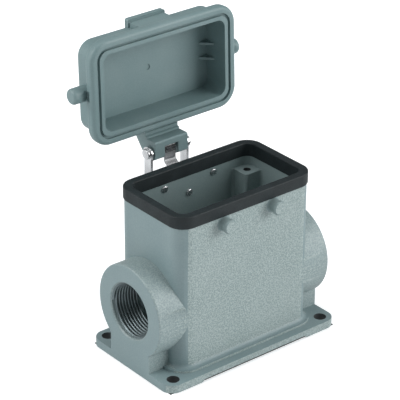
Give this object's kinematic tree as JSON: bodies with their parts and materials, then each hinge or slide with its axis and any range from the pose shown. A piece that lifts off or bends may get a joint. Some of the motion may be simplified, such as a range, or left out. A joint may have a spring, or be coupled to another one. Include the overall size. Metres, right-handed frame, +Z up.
{
  "type": "rectangular connector housing with hinged cover",
  "caption": "Surface-mounting die-cast housing for a heavy duty rectangular connector, with cable entries in its ends, a rim seal and a hinged protective cover standing open.",
  "frame": {"origin": "centre of the base hole pattern, in the plane the housing stands on", "axes": "+Z up out of the mouth of the housing, +Y towards the hinge, X along the long side through both cable entries"},
  "size_m": [0.093, 0.0768, 0.1343],
  "materials": {
    "coated_casting": "hammer-tone powder coat on an aluminium die casting",
    "coated_cover": "satin powder coat on an aluminium die casting",
    "seal_rubber": "matt black moulded rubber",
    "stainless_sheet": "bright rolled stainless sheet",
    "steel_turned": "turned stainless steel"
  },
  "bodies": {
    "housing": {"housing_body": "coated_casting", "rim_seal": "seal_rubber", "hinge_bracket": "stainless_sheet", "hinge_pin": "steel_turned", "hinge_leaf_spring": "stainless_sheet", "rear_peg_left": "steel_turned", "rear_peg_right": "steel_turned", "spring_rivet": "steel_turned"},
    "cover": {"cover_shell": "coated_cover"}
  },
  "joints": [
    {"name": "cover_hinge", "type": "hinge", "parent": "housing", "child": "cover", "pos_m": [0, 0.0335, 0.0772], "axis": [1, 0, 0], "range_deg": [0, 92]}
  ]
}
